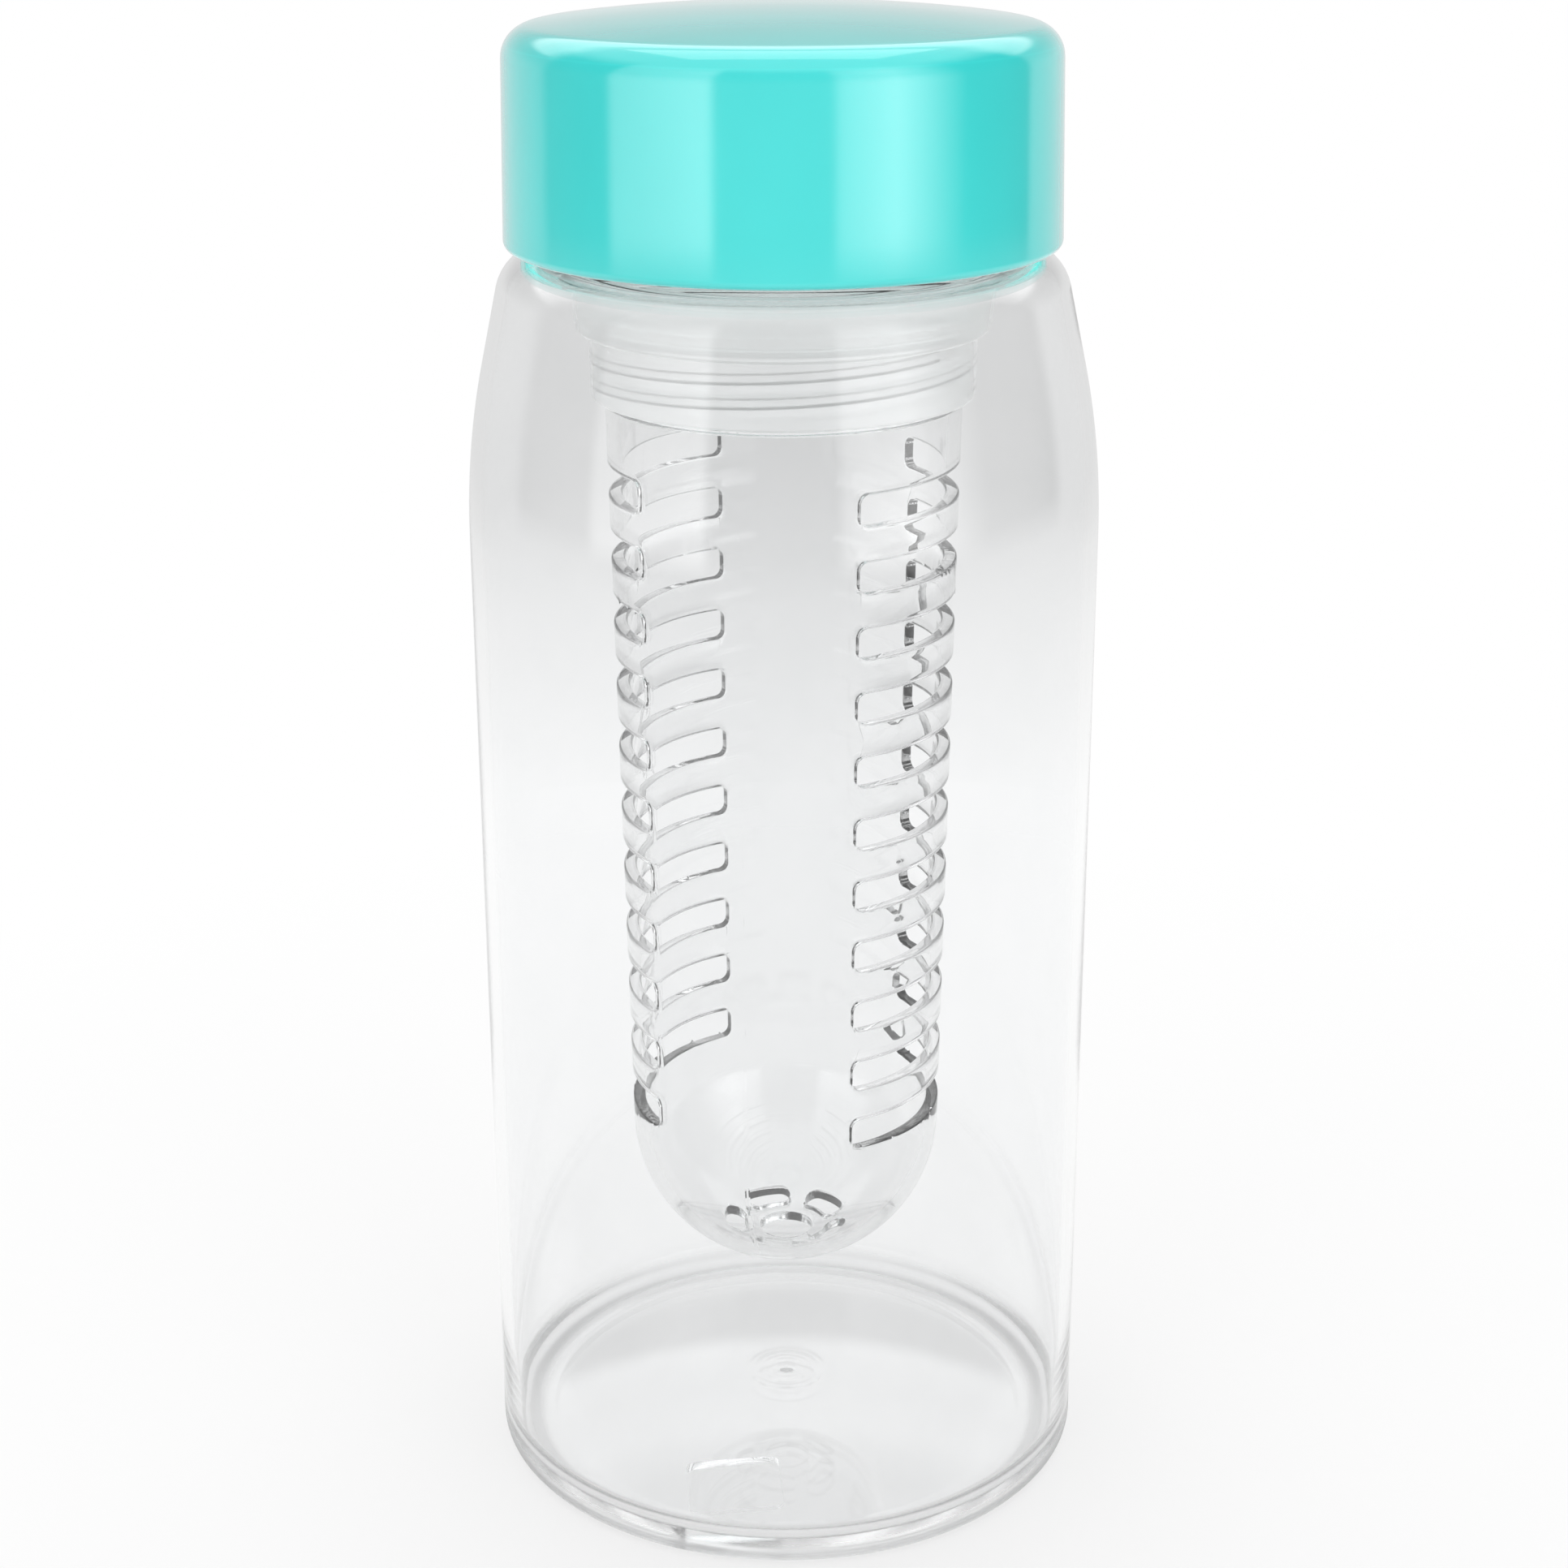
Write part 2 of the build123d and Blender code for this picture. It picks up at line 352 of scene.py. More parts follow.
def turned(name, outline, sides):
    """Spin an outline of (radius, height) points about Z into a closed piece."""
    closed = outline[0][0] > 0
    piece = draw(name, [(radius, 0, height) for radius, height in outline], closed)
    bpy.ops.mesh.spin(steps=sides, angle=2 * pi, center=(0, 0, 0), axis=(0, 0, 1))
    close_mesh(merge=True)
    return piece


def pushed_out(name, outline, push):
    """Fill a closed outline of 3-D points and extrude it into a solid."""
    piece = draw(name, outline, True)
    bpy.ops.mesh.edge_face_add()
    bpy.ops.mesh.extrude_region_move(TRANSFORM_OT_translate={"value": push})
    close_mesh()
    return piece


def thread_ridge(name, root, crest, bottom, lead, turns, start, widths, sides=96):
    """One start of a screw thread: a trapezium carried up a right-handed helix."""
    root_width, crest_width = widths
    sunk = root - thread_sink if crest > root else root + thread_sink
    section = [
        (sunk, 0, bottom),
        (root, 0, bottom),
        (crest, 0, bottom + (root_width - crest_width) / 2),
        (crest, 0, bottom + (root_width + crest_width) / 2),
        (root, 0, bottom + root_width),
        (sunk, 0, bottom + root_width),
    ]
    piece = draw(name, section, True)
    bpy.ops.mesh.edge_face_add()
    bpy.ops.mesh.delete(type="ONLY_FACE")
    bpy.ops.object.mode_set(mode="OBJECT")
    steps = round(sides * turns)
    apply_modifier(
        piece, "sweep", "SCREW", angle=2 * pi * turns, screw_offset=lead * turns,
        steps=steps, render_steps=steps,
    )
    open_mesh()
    bpy.ops.mesh.fill_holes(sides=8)
    close_mesh()
    move_mesh(piece, angle=start)
    return piece


def dome_height(radius, edge_height):
    """Height of the pushed-up floor at a radius."""
    return edge_height + push_up - dome_radius + sqrt(dome_radius**2 - radius**2)


def gate_swell(radius):
    """The nub and faint rings that the moulding gate leaves in the middle of the floor."""
    swell = gate_nub_height * max(0.0, 1 - (radius / gate_nub_radius) ** 2)
    for place, height in gate_rings:
        swell += height * max(0.0, 1 - ((radius - place) / gate_ring_width) ** 2) ** 2
    return swell


def mark_stamp():
    """A block with rounded corners that presses the bare mark into the underside."""
    half_x, half_y = mark_size[0] / 2 - mark_round, mark_size[1] / 2 - mark_round
    outline = []
    for turn, (side_x, side_y) in enumerate(((1, 1), (-1, 1), (-1, -1), (1, -1))):
        middle = (side_x * half_x, side_y * half_y)
        outline += arc_points(middle, mark_round, turn * pi / 2, (turn + 1) * pi / 2, 5)
    below = 6 * mm
    corners = [(x, y, -below) for x, y in outline]
    stamp = pushed_out("mark_stamp", corners, (0, 0, below + mark_depth))
    move_mesh(stamp, angle=mark_turn)
    reach = sqrt(mark_place[0] ** 2 + mark_place[1] ** 2)
    move_mesh(stamp, angle=reach / dome_radius, axis="X")
    move_mesh(stamp, shift=(*mark_place, dome_height(reach, 0)))
    return stamp


def make_bottle():
    """Blow-moulded bottle with its neck thread, the bare mark and what the gate leaves."""
    shoulder_break = shoulder_height - shoulder_taper_height
    lean = atan((body_radius - shoulder_radius) / shoulder_taper_height)
    inner_shoulder = shoulder_height - shoulder_wall
    inner_radius = body_radius - body_wall
    # The floor has its points close together where the gate's rings are
    near_gate = [step * 0.25 * mm for step in range(25)]
    floor_radii = near_gate + [8 * mm, 12 * mm, 17 * mm, 22 * mm, 27 * mm, dome_edge_radius]
    underside = [(radius, dome_height(radius, 0)) for radius in floor_radii]
    floor = [
        (radius, dome_height(radius, floor_wall) + gate_swell(radius)) for radius in floor_radii
    ]
    inner_shoulder_radius = shoulder_radius + shoulder_wall * tan(lean) - body_wall / cos(lean)
    corners = [
        ((dome_edge_radius, dome_height(dome_edge_radius, 0)), 0),
        ((foot_radius, 0), foot_round),
        ((body_radius, 0), heel_round),
        ((body_radius, shoulder_break), shoulder_blend),
        ((shoulder_radius, shoulder_height), shoulder_corner),
        ((neck_radius, shoulder_height), neck_root_round),
        ((neck_radius, rim_height), neck_rim_round),
        ((neck_bore_radius, rim_height), neck_rim_round),
        ((neck_bore_radius, inner_shoulder), neck_root_round),
        ((inner_shoulder_radius, inner_shoulder), shoulder_corner - body_wall),
        ((inner_radius, shoulder_break - body_wall * tan(lean / 2)), shoulder_blend - body_wall),
        ((inner_radius, floor_wall), inner_heel_round),
        ((foot_radius, floor_wall), foot_round),
        ((dome_edge_radius, dome_height(dome_edge_radius, floor_wall)), 0),
    ]
    wall = divided(rounded(*zip(*corners)), longest=12 * mm)
    bottle = turned("clear_bottle_wall", underside[:-1] + wall + floor[-2::-1], 160)
    ridge = thread_ridge(
        "neck_thread", neck_radius, neck_radius + lid_thread_depth,
        neck_thread_bottom, lid_thread_lead, lid_thread_turns, lid_thread_start,
        lid_thread_widths,
    )
    use_tool(bottle, ridge, "UNION")
    use_tool(bottle, mark_stamp(), "DIFFERENCE")
    smooth(bottle, 40)
    return bottle


def slot_cutter(height, facing):
    """A ring piece with rounded ends that cuts one slot square to the wall."""
    near, far = nose_radius - 4 * slot_round, nose_radius + 4 * slot_round
    low, high = height - slot_height / 2, height + slot_height / 2
    section = [(near, 0, low), (far, 0, low), (far, 0, high), (near, 0, high)]
    cutter = draw("slot_cutter", section, True)
    bpy.ops.mesh.edge_face_add()
    bpy.ops.mesh.spin(steps=24, angle=2 * slot_half_span, center=(0, 0, 0), axis=(0, 0, 1))
    close_mesh(merge=True)
    apply_modifier(
        cutter, "corners", "BEVEL", width=slot_round, segments=6,
        limit_method="ANGLE", angle_limit=radians(60),
    )
    move_mesh(cutter, angle=facing + slot_half_span)
    return cutter


def kidney_outline(turn):
    """A bent slot with round ends, centred on an angle."""
    start, end = turn - kidney_span / 2, turn + kidney_span / 2
    half = kidney_width / 2
    head = (kidney_mid_radius * cos(end), kidney_mid_radius * sin(end))
    tail = (kidney_mid_radius * cos(start), kidney_mid_radius * sin(start))
    outline = arc_points((0, 0), kidney_mid_radius + half, start, end, 8)
    outline += arc_points(head, half, end, end + pi, 10)[1:-1]
    outline += arc_points((0, 0), kidney_mid_radius - half, end, start, 8)
    outline += arc_points(tail, half, start + pi, start + 2 * pi, 10)[1:-1]
    return outline


def basket_cutters():
    """What cuts the slots and the nose's holes."""
    cutters = []
    for step in range(slot_count):
        height = nose_height + slot_first_height + step * slot_pitch
        cutters += [slot_cutter(height, facing) for facing in (0, pi)]
    low, rise = nose_bottom - 5 * mm, (0, 0, 16 * mm)
    hole = arc_points((0, 0), nose_hole_radius, 0, 2 * pi, 48)[:-1]
    cutters.append(pushed_out("nose_hole", [(x, y, low) for x, y in hole], rise))
    for step in range(kidney_count):
        kidney = kidney_outline(-pi / 2 + step * 2 * pi / kidney_count)
        cutters.append(pushed_out("kidney_hole", [(x, y, low) for x, y in kidney], rise))
    return cutters


def make_basket():
    """Tapered basket: its slots, drain holes and two-start thread."""
    inner_nose = nose_radius - basket_wall
    inner_top = basket_thread_radius - basket_wall
    taper = (basket_shoulder_radius - nose_radius) / (basket_shoulder_height - nose_height)
    nose = (0, nose_height)
    outer_nose = arc_points(nose, nose_radius, -pi / 2, 0, 40)
    inner_bowl = arc_points(nose, inner_nose, 0, -pi / 2, 40)
    outer_nose[0], inner_bowl[-1] = (0, nose_height - nose_radius), (0, nose_height - inner_nose)
    above_nose = 0.5 * mm
    corners = [
        ((nose_radius + above_nose * taper, nose_height + above_nose), 0),
        ((basket_shoulder_radius, basket_shoulder_height - 0.15 * mm), 0),
        ((basket_shoulder_radius - 0.1 * mm, basket_shoulder_height), 0),
        ((basket_thread_radius, basket_shoulder_height), 0),
        ((basket_thread_radius, basket_top), 0.4 * mm),
        ((inner_top, basket_top), 0.3 * mm),
        ((inner_top, basket_shoulder_height), 0),
        ((inner_nose, nose_height), 0),
    ]
    wall = divided(rounded(*zip(*corners)), longest=2.5 * mm)
    basket = turned("slotted_basket", outer_nose + wall[:-1] + inner_bowl, 192)
    use_tool(basket, joined(basket_cutters()), "DIFFERENCE")
    open_mesh()
    bpy.ops.mesh.remove_doubles(threshold=weld_gap)
    bpy.ops.object.mode_set(mode="OBJECT")
    apply_modifier(
        basket, "edges", "BEVEL", width=edge_round, segments=3,
        limit_method="ANGLE", angle_limit=radians(50), use_clamp_overlap=False,
    )
    move_mesh(basket, angle=basket_turn)
    for start in (0, pi):
        ridge = thread_ridge(
            "basket_thread", basket_thread_radius, basket_thread_radius + basket_thread_depth,
            basket_thread_bottom, basket_thread_lead, basket_thread_turns,
            start + basket_thread_start, basket_thread_widths,
        )
        use_tool(basket, ridge, "UNION")
    smooth(basket, 45)
    return basket


def make_holder():
    """Frosted holder: flange, plug and the skirt with its two-start inner thread."""
    corners = [
        ((plug_bore_radius, flange_top), 0.5 * mm),
        ((plug_bore_radius, ledge_top), 0.5 * mm),
        ((ledge_bore_radius, ledge_top), 0.3 * mm),
        ((ledge_bore_radius, ledge_bottom), 0.3 * mm),
        ((skirt_root_radius, ledge_bottom), 0.2 * mm),
        ((skirt_root_radius, skirt_bottom), 0.2 * mm),
        ((skirt_radius, skirt_bottom), 0.5 * mm),
        ((skirt_radius, plug_bottom), 0.3 * mm),
        ((plug_radius, plug_bottom), 0.6 * mm),
        ((plug_radius, flange_bottom), 0.4 * mm),
        ((flange_radius, flange_bottom), 0.4 * mm),
        ((flange_radius, flange_top), 0.5 * mm),
    ]
    holder = turned("frosted_holder", rounded(*zip(*corners)), 160)
    for start in (0, pi):
        ridge = thread_ridge(
            "holder_thread", skirt_root_radius, skirt_crest_radius,
            holder_thread_bottom, basket_thread_lead, holder_thread_turns,
            start + holder_thread_start, holder_thread_widths,
        )
        use_tool(holder, ridge, "UNION")
    smooth(holder, 35)
    return holder


def make_ring(name, inner, outer, low, high, edge):
    """A soft flat ring with rounded edges."""
    corners = [(inner, low), (outer, low), (outer, high), (inner, high)]
    ring = turned(name, rounded(corners, [edge] * 4), 128)
    smooth(ring, 40)
    return ring


def insert_key():
    """One of the ribs on the inner cap that grip the outer cap."""
    half = key_width / 2
    outline = [
        (key_root_radius, -half),
        (key_reach - key_bevel, -half),
        (key_reach, -half + key_bevel),
        (key_reach, half - key_bevel),
        (key_reach - key_bevel, half),
        (key_root_radius, half),
    ]
    return pushed_out("insert_key", [(x, y, key_bottom) for x, y in outline], (0, 0, key_length))


def make_insert():
    """Inner cap of the lid with its thread, gasket rib and keys."""
    rib_bore_radius = gasket_rib_radius - gasket_rib_wall
    rib_bottom = insert_ceiling - gasket_rib_depth
    corners = [
        ((0, insert_top), 0),
        ((insert_radius, insert_top), 1.6 * mm),
        ((insert_radius, insert_bottom), 0.3 * mm),
        ((insert_bore_radius, insert_bottom), 0.3 * mm),
        ((insert_bore_radius, insert_ceiling), 0.8 * mm),
        ((gasket_rib_radius, insert_ceiling), 0.2 * mm),
        ((gasket_rib_radius, rib_bottom), 0.3 * mm),
        ((rib_bore_radius, rib_bottom), 0.3 * mm),
        ((rib_bore_radius, insert_ceiling), 0.2 * mm),
        ((0, insert_ceiling), 0),
    ]
    insert = turned("lid_inner_cap", rounded(*zip(*corners)), 128)
    keys = []
    for step in range(key_count):
        keys.append(insert_key())
        move_mesh(keys[-1], angle=step * 2 * pi / key_count)
    use_tool(insert, joined(keys), "UNION")
    ridge = thread_ridge(
        "lid_thread", insert_bore_radius, insert_bore_radius - lid_thread_depth,
        insert_thread_bottom, lid_thread_lead, lid_thread_turns, lid_thread_start,
        lid_thread_widths,
    )
    use_tool(insert, ridge, "UNION")
    smooth(insert, 35)
    return insert


def make_lid():
    """Glossy outer cap of the lid, with a slightly domed top."""
    edge = lid_foot_radius - lid_draft
    crown_radius = (edge**2 + lid_crown**2) / (2 * lid_crown)
    crown = [
        (radius, lid_top - crown_radius + sqrt(crown_radius**2 - radius**2))
        for radius in [step * 3 * mm for step in range(11)]
    ]
    corners = [(point, 0) for point in crown] + [
        ((edge, lid_top - lid_crown), lid_edge_round),
        ((lid_foot_radius, lid_bottom), lid_rim_round),
        ((lid_bore_radius, lid_bottom), lid_bore_round),
        ((lid_bore_radius, insert_top), lid_ceiling_round),
        ((0, insert_top), 0),
    ]
    lid = turned("turquoise_cap", divided(rounded(*zip(*corners)), longest=8 * mm), 192)
    smooth(lid, 40)
    return lid


def new_material(name):
    """A material with its node tree, shader and object coordinates ready."""
    material = bpy.data.materials.new(name)
    material.use_nodes = True
    tree = material.node_tree
    place = tree.nodes.new("ShaderNodeTexCoord").outputs["Object"]
    return material, tree, tree.nodes["Principled BSDF"], place


def new_tree(owner):
    """The emptied node tree of a material or world."""
    owner.use_nodes = True
    owner.node_tree.nodes.clear()
    return owner.node_tree


def set_inputs(node, values):
    """Give a node's inputs plain values by name."""
    for name, value in values.items():
        node.inputs[name].default_value = value


def noise(tree, place, scale, detail, rough=0.5, stretch=None):
    """Noise on object coordinates, in features per metre."""
    texture = tree.nodes.new("ShaderNodeTexNoise")
    set_inputs(texture, {"Scale": scale, "Detail": detail, "Roughness": rough})
    if stretch:
        mapping = tree.nodes.new("ShaderNodeMapping")
        mapping.inputs["Scale"].default_value = stretch
        tree.links.new(place, mapping.inputs["Vector"])
        place = mapping.outputs["Vector"]
    tree.links.new(place, texture.inputs["Vector"])
    return texture.outputs["Fac"]


def spread(tree, value, low, high, start=0.3, end=0.7):
    """Carry a value from one range to another and hold it at both ends."""
    ramp = tree.nodes.new("ShaderNodeMapRange")
    set_inputs(ramp, {"From Min": start, "From Max": end, "To Min": low, "To Max": high})
    tree.links.new(value, ramp.inputs["Value"])
    return ramp.outputs["Result"]


def feed(tree, socket, value):
    """Give a socket a number, a colour or another node's output."""
    if isinstance(value, (int, float, tuple)):
        socket.default_value = value
    else:
        tree.links.new(value, socket)


def reckoned(tree, operation, a, b=0.0):
    """A sum, product or the like of two values, each a number or another node's output."""
    node = tree.nodes.new("ShaderNodeMath")
    node.operation = operation
    feed(tree, node.inputs[0], a)
    feed(tree, node.inputs[1], b)
    return node.outputs["Value"]


def mixed(tree, factor, a, b, kind="FLOAT"):
    """Mix two values, or two colours, each plain or another node's output."""
    mix = tree.nodes.new("ShaderNodeMix")
    mix.data_type = kind
    for name, value in (("Factor", factor), ("A", a), ("B", b)):
        feed(tree, mix.inputs[name], value)
    return mix.outputs["Result"]


def ramped(tree, value, stops):
    """Read a colour off a ramp of (position, colour) stops."""
    ramp = tree.nodes.new("ShaderNodeValToRGB")
    marks = ramp.color_ramp.elements
    marks.remove(marks[-1])
    marks[0].position = stops[0][0]
    for position, _ in stops[1:]:
        marks.new(position)
    for mark, (_, colour) in zip(marks, stops):
        mark.color = (*colour, 1)
    tree.links.new(value, ramp.inputs["Fac"])
    return ramp.outputs["Color"]


def tinted(tree, value, low, high):
    """Blend between two colours by a noise value."""
    return ramped(tree, value, [(0.3, low), (0.7, high)])


def grey_ramp(tree, value, stops):
    """Read a brightness off a ramp of (position, brightness) stops."""
    return ramped(tree, value, [(position, [brightness] * 3) for position, brightness in stops])


def bumped(tree, height, distance, normal=None):
    """A bump from a height value, on top of another where one is given."""
    bump = tree.nodes.new("ShaderNodeBump")
    bump.inputs["Distance"].default_value = distance
    tree.links.new(height, bump.inputs["Height"])
    if normal:
        tree.links.new(normal, bump.inputs["Normal"])
    return bump.outputs["Normal"]


def off_axis(tree, place):
    """Distance from the bottle's axis, and height."""
    flat = tree.nodes.new("ShaderNodeVectorMath")
    flat.operation = "MULTIPLY"
    flat.inputs[1].default_value = (1, 1, 0)
    tree.links.new(place, flat.inputs[0])
    far = tree.nodes.new("ShaderNodeVectorMath")
    far.operation = "LENGTH"
    tree.links.new(flat.outputs["Vector"], far.inputs[0])
    split = tree.nodes.new("ShaderNodeSeparateXYZ")
    tree.links.new(place, split.inputs["Vector"])
    return far.outputs["Value"], split.outputs["Z"]


def worn_foot(tree, place, dullness):
    """Add the scuffs of the ring that the bottle stands on."""
    far, height = off_axis(tree, place)
    outside = spread(tree, far, 0.0, 1.0, foot_radius + 0.8 * mm, foot_radius + 2.5 * mm)
    scuffs = spread(tree, height, 0.34, 0.0, 2 * mm, 8 * mm)
    return reckoned(tree, "MAXIMUM", dullness, reckoned(tree, "MULTIPLY", outside, scuffs))


def parting_line(tree, place, normal):
    """Add the fine raised line where the halves of the basket's mould met."""
    turn = tree.nodes.new("ShaderNodeMapping")
    turn.inputs["Rotation"].default_value = (0, 0, -basket_turn)
    tree.links.new(place, turn.inputs["Vector"])
    split = tree.nodes.new("ShaderNodeSeparateXYZ")
    tree.links.new(turn.outputs["Vector"], split.inputs["Vector"])
    away = reckoned(tree, "ABSOLUTE", split.outputs["X"])
    return bumped(tree, spread(tree, away, 1.0, 0.0, 0.0, 0.18 * mm), 0.012 * mm, normal)


def clear_plastic(name, tint, wave, basket=False):
    """Clear moulded plastic with faint waves and haze.

    The bottle's is worn at its foot. The basket's has its mould's parting line, and greys what is
    seen through its wall.
    """
    material, tree, shader, place = new_material(name)
    set_inputs(shader, {"Transmission Weight": 1.0, "IOR": 1.52})
    haze = noise(tree, place, scale=90, detail=4, rough=0.6)
    waves = noise(tree, place, scale=28, detail=1, rough=0.4, stretch=(1, 1, 0.45))
    dullness = spread(tree, haze, 0.0, 0.035, 0.45, 0.75)
    normal = bumped(tree, waves, wave)
    if basket:
        normal = parting_line(tree, place, normal)
        depth = tree.nodes.new("ShaderNodeVolumeAbsorption")
        set_inputs(depth, {"Color": basket_depth_grey, "Density": basket_depth_density})
        tree.links.new(depth.outputs["Volume"], tree.nodes["Material Output"].inputs["Volume"])
    else:
        dullness = worn_foot(tree, place, dullness)
    tree.links.new(tinted(tree, haze, *tint), shader.inputs["Base Color"])
    tree.links.new(dullness, shader.inputs["Roughness"])
    tree.links.new(normal, shader.inputs["Normal"])
    return material


def thread_flank(tree, place):
    """How far a point lies on the flanks of the holder's thread, from 0 to 1: where shade is
    painted.
    """
    far, height = off_axis(tree, place)
    crest, root = skirt_crest_radius, skirt_root_radius
    past_crest = spread(tree, far, 0.0, 1.0, crest + 0.01 * mm, crest + 0.09 * mm)
    before_root = spread(tree, far, 1.0, 0.0, root - 0.13 * mm, root - 0.03 * mm)
    on_skirt = spread(tree, height, 1.0, 0.0, plug_bottom - 0.5 * mm, plug_bottom - 0.1 * mm)
    flank = reckoned(tree, "MULTIPLY", past_crest, before_root)
    return reckoned(tree, "MULTIPLY", flank, on_skirt)


def frosted_plastic():
    """Milky translucent moulding with a fine matt grain, with painted shade on the flanks of its
    thread and a faint painted glow on the rest.
    """
    material, tree, shader, place = new_material("frosted_holder")
    set_inputs(shader, {"Transmission Weight": 0.62, "IOR": 1.46})
    # Colour of the painted glow that lifts the holder, standing in for light through the frost
    shader.inputs["Emission Color"].default_value = (1, 1, 0.99, 1)
    cloud = noise(tree, place, scale=60, detail=3)
    grain = noise(tree, place, scale=2500, detail=2)
    flank = thread_flank(tree, place)
    # Painted shade greys the flanks of the thread
    colour = mixed(tree, flank, tinted(tree, cloud, *milk_tint), painted_thread_shade_grey, "RGBA")
    tree.links.new(colour, shader.inputs["Base Color"])
    # Painted glow of 0.15 on the holder, left off on the thread's flanks
    tree.links.new(spread(tree, flank, 0.15, 0.0, 0.0, 1.0), shader.inputs["Emission Strength"])
    tree.links.new(spread(tree, cloud, 0.16, 0.26), shader.inputs["Roughness"])
    tree.links.new(bumped(tree, grain, 0.004 * mm), shader.inputs["Normal"])
    return material


def moulded(name, settings, tint, cloud, dullness, skin):
    """Moulded finish: colour and roughness that follow a cloud of noise, and a finer-grained skin.

    The cloud is given as for noise(), the skin as its scale, detail and height.
    """
    material, tree, shader, place = new_material(name)
    set_inputs(shader, settings)
    drift = noise(tree, place, *cloud)
    tree.links.new(tinted(tree, drift, *tint), shader.inputs["Base Color"])
    tree.links.new(spread(tree, drift, *dullness), shader.inputs["Roughness"])
    grain = noise(tree, place, *skin[:2])
    tree.links.new(bumped(tree, grain, skin[2]), shader.inputs["Normal"])
    return material


def soft_silicone():
    """Cloudy white silicone with a dull skin."""
    settings = {"Transmission Weight": 0.3, "IOR": 1.41}
    cloud, skin = (120, 3), (1800, 3, 0.006 * mm)
    return moulded("silicone", settings, silicone_tint, cloud, (0.38, 0.52), skin)


def white_satin():
    """Satin white moulding of the lid's inner cap, with a painted glow that stands in for the light
    soaking through the outer cap.
    """
    # Painted glow: the inner cap lights itself
    settings = {"Emission Color": (0.8, 1, 0.98, 1), "Emission Strength": 0.3}
    cloud, skin = (70, 3), (1500, 3, 0.005 * mm)
    return moulded("white_insert", settings, insert_tint, cloud, (0.3, 0.4), skin)


def turquoise_gloss():
    """Glossy coloured moulding with flow marks, and a painted glow on its inside that stands in for
    light through its wall.
    """
    settings = {
        "IOR": 1.62,
        "Coat Weight": 1.0,
        "Coat Roughness": 0.06,
        "Subsurface Weight": 0.12,
        "Subsurface Radius": (0.6, 1.0, 0.9),
        "Subsurface Scale": 1.2 * mm,
        # Colour of the painted glow on the inside of the rim
        "Emission Color": (0.1, 0.9, 0.82, 1),
    }
    flow, skin = (40, 3, 0.5, (1, 1, 0.6)), (260, 2, 0.006 * mm)
    material = moulded("turquoise_lid", settings, turquoise_tint, flow, (0.10, 0.16), skin)
    tree = material.node_tree
    # Painted glow on the inside of the rim below the inner cap, standing in for light through the
    # wall
    far, height = off_axis(tree, tree.nodes["Texture Coordinate"].outputs["Object"])
    within = spread(tree, far, 0.3, 0.0, lid_bore_radius + 0.5 * mm, lid_bore_radius + 1.2 * mm)
    under = spread(tree, height, 1.0, 0.0, insert_top + 0.1 * mm, insert_top + 0.3 * mm)
    glow = reckoned(tree, "MULTIPLY", within, under)
    tree.links.new(glow, tree.nodes["Principled BSDF"].inputs["Emission Strength"])
    return material


def dress(piece, node, body, material):
    """Let a finished piece stand for its node."""
    piece.data.materials.clear()
    piece.data.materials.append(material)
    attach(piece, body)
    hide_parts(node)


clear_bottle = clear_plastic("clear_bottle", bottle_tint, 0.05 * mm)
clear_basket = clear_plastic("clear_basket", basket_tint, 0.02 * mm, basket=True)
frosted_holder = frosted_plastic()
silicone = soft_silicone()
white_insert = white_satin()
turquoise_lid = turquoise_gloss()

dress(make_bottle(), "bottle_body", "bottle", clear_bottle)
dress(make_basket(), "infuser_basket", "basket", clear_basket)
dress(make_holder(), "infuser_collar", "holder", frosted_holder)
neck_seal = make_ring(
    "neck_seal_ring", neck_seal_bore_radius, flange_radius, rim_height, flange_bottom,
    neck_seal_round,
)
dress(neck_seal, "neck_seal", "holder", silicone)
basket_seal = make_ring(
    "basket_seal_ring", ledge_bore_radius, basket_thread_radius, basket_top, ledge_bottom,
    basket_seal_round,
)
dress(basket_seal, "basket_seal", "basket_ring", silicone)
lid_gasket = make_ring(
    "lid_gasket_ring", gasket_bore_radius, gasket_radius, flange_top, insert_ceiling,
    gasket_round,
)
dress(lid_gasket, "lid_gasket", "lid_ring", silicone)
dress(make_insert(), "lid_insert", "lid", white_insert)
dress(make_lid(), "lid_shell", "lid", turquoise_lid)


def seen_share(tree, camera, clear, shiny):
    """How much a surface glows for rays from the camera, through clear plastic and off a gloss."""
    path = tree.nodes.new("ShaderNodeLightPath").outputs
    shares = {"Is Camera Ray": camera, "Is Transmission Ray": clear, "Is Glossy Ray": shiny}
    total = 0.0
    for kind, share in shares.items():
        total = reckoned(tree, "MAXIMUM", total, reckoned(tree, "MULTIPLY", path[kind], share))
    return total


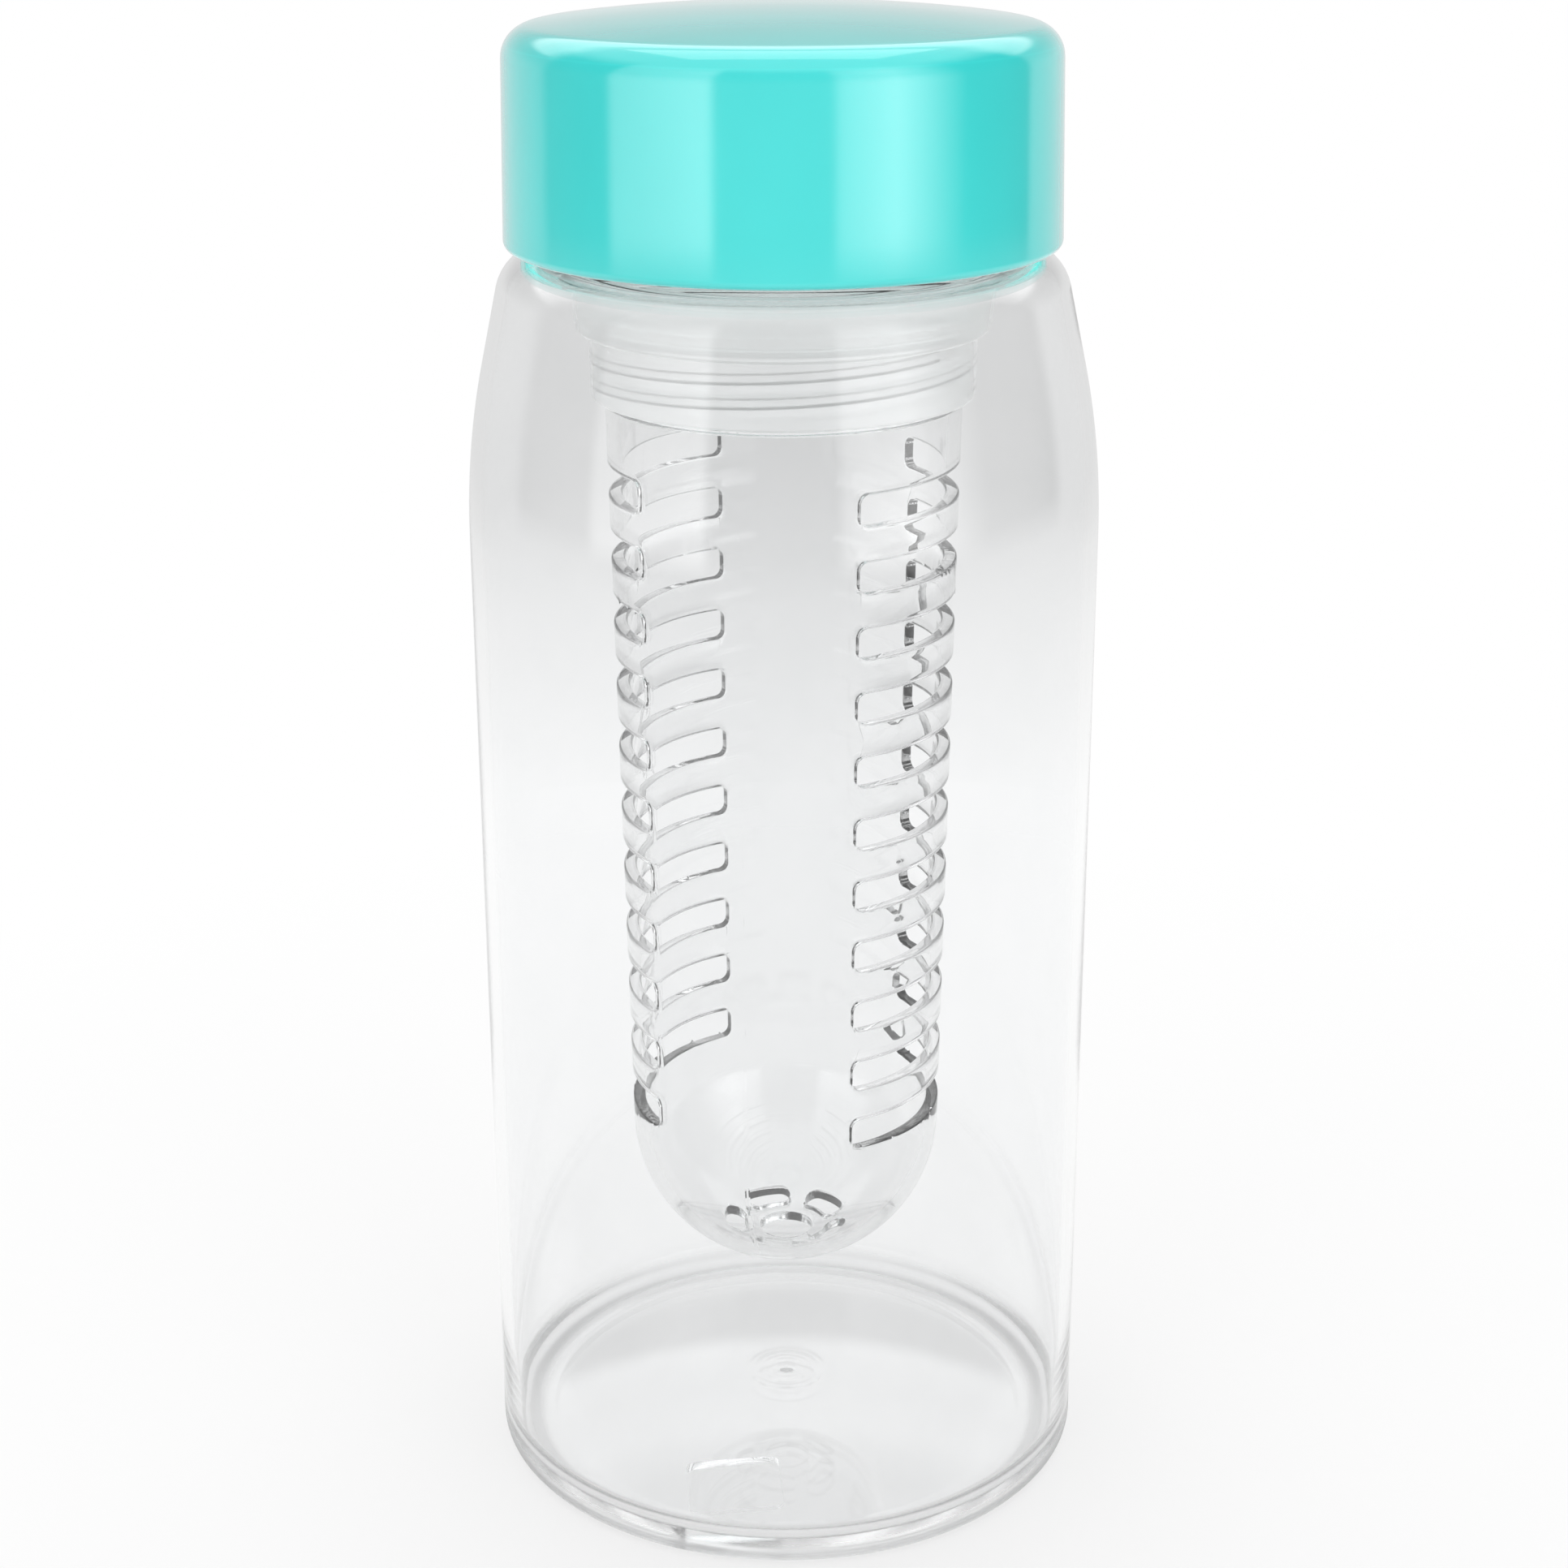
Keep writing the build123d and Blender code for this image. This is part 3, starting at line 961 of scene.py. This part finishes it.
def make_floor():
    """Round white table top that keeps a soft shadow and fades into the white background."""
    bpy.ops.object.select_all(action="DESELECT")
    bpy.ops.mesh.primitive_circle_add(
        vertices=96, radius=floor_radius, fill_type="NGON", location=(0, 0, 0)
    )
    floor = bpy.context.object
    floor.name = floor.data.name = "studio_floor"
    material = bpy.data.materials.new("studio_floor")
    tree = new_tree(material)
    far, _ = off_axis(tree, tree.nodes.new("ShaderNodeTexCoord").outputs["Object"])
    fade = spread(tree, far, 0.0, 1.0, *floor_fade)
    share = mixed(tree, fade, seen_share(tree, *floor_near_glow), seen_share(tree, 1.0, 1.0, 1.0))
    matt = tree.nodes.new("ShaderNodeBsdfDiffuse")
    matt.inputs["Color"].default_value = floor_grey
    glow = tree.nodes.new("ShaderNodeEmission")
    glow.inputs["Color"].default_value = (1, 1, 1, 1)
    blend = tree.nodes.new("ShaderNodeMixShader")
    tree.links.new(share, blend.inputs["Fac"])
    tree.links.new(matt.outputs["BSDF"], blend.inputs[1])
    tree.links.new(glow.outputs["Emission"], blend.inputs[2])
    output = tree.nodes.new("ShaderNodeOutputMaterial")
    tree.links.new(blend.outputs["Shader"], output.inputs["Surface"])
    floor.data.materials.append(material)


def make_world():
    """White background for the camera, and for all other rays a studio of panels with dark gaps."""
    world = bpy.data.worlds.new("studio")
    bpy.context.scene.world = world
    tree = new_tree(world)
    way = tree.nodes.new("ShaderNodeTexCoord")
    split = tree.nodes.new("ShaderNodeSeparateXYZ")
    tree.links.new(way.outputs["Generated"], split.inputs["Vector"])
    right, behind, up = split.outputs

    azimuth = reckoned(tree, "ARCTAN2", right, reckoned(tree, "MULTIPLY", behind, -1.0))
    turn = spread(tree, azimuth, 0.0, 1.0, -pi, pi)
    stops = [((angle + 180) / 360, value / panel_scale) for angle, value in studio_panels]
    panels = grey_ramp(tree, turn, [(0.0, stops[-1][1])] + stops)
    scale = spread(tree, up, panel_scale, panel_scale * panel_top_share, *panel_fade)
    ring = reckoned(tree, "MULTIPLY", panels, scale)

    down = reckoned(tree, "MULTIPLY", up, -1.0)
    below = grey_ramp(tree, down, backdrop)
    sides = mixed(tree, spread(tree, down, 0.0, 1.0, *backdrop_fade), ring, below)
    overhead = spread(tree, up, 0.0, 1.0, *overhead_fade)
    room = mixed(tree, overhead, sides, overhead_light)

    strip = reckoned(
        tree, "MULTIPLY",
        spread(tree, up, 0.0, strip_light, *strip_lower_fade),
        spread(tree, up, 1.0, 0.0, *strip_upper_fade),
    )
    strip = reckoned(tree, "MULTIPLY", strip, spread(tree, behind, 0.0, 1.0, *strip_behind_fade))
    room = reckoned(tree, "ADD", room, strip)

    seen = tree.nodes.new("ShaderNodeLightPath").outputs["Is Camera Ray"]
    glow = tree.nodes.new("ShaderNodeBackground")
    glow.inputs["Color"].default_value = (1, 1, 1, 1)
    tree.links.new(mixed(tree, seen, room, 1.0), glow.inputs["Strength"])
    output = tree.nodes.new("ShaderNodeOutputWorld")
    tree.links.new(glow.outputs["Background"], output.inputs["Surface"])


def softbox(name, azimuth, elevation, distance, width, height, power):
    """A rectangular lamp that looks at the bottle's middle; azimuth turns from -Y towards +X."""
    way = Vector((sin(azimuth) * cos(elevation), -cos(azimuth) * cos(elevation), sin(elevation)))
    lamp = bpy.data.lights.new(name, "AREA")
    lamp.shape = "RECTANGLE"
    lamp.size, lamp.size_y = width, height
    lamp.energy = power
    lamp_object = bpy.data.objects.new(name, lamp)
    lamp_object.location = lamp_aim + way * distance
    lamp_object.rotation_euler = (-way).to_track_quat("-Z", "Y").to_euler()
    bpy.context.scene.collection.objects.link(lamp_object)


def make_camera():
    """The photograph's camera."""
    camera = bpy.data.cameras.new("photo_camera")
    camera.sensor_width = 36.0
    camera.lens = focal_pixels / photo_size * camera.sensor_width
    camera.clip_start = 0.01
    camera.shift_x = camera_shift
    camera_object = bpy.data.objects.new("photo_camera", camera)
    camera_object.location = (0, -camera_distance, camera_height)
    camera_object.rotation_euler = (pi / 2 - camera_pitch, 0, 0)
    bpy.context.scene.collection.objects.link(camera_object)
    camera_object.rotation_euler.rotate_axis("Z", camera_roll)
    bpy.context.scene.camera = camera_object


make_floor()
make_world()
make_camera()
softbox(
    "top_softbox", azimuth=radians(180), elevation=radians(78), distance=1.2,
    width=1.0, height=0.8, power=2.5,
)

scene = bpy.context.scene
scene.view_settings.view_transform = "Standard"
scene.cycles.max_bounces = 40
scene.cycles.transmission_bounces = 32
scene.cycles.transparent_max_bounces = 16
scene.cycles.glossy_bounces = 20
scene.cycles.diffuse_bounces = 4
scene.cycles.caustics_reflective = False
scene.cycles.use_denoising = True
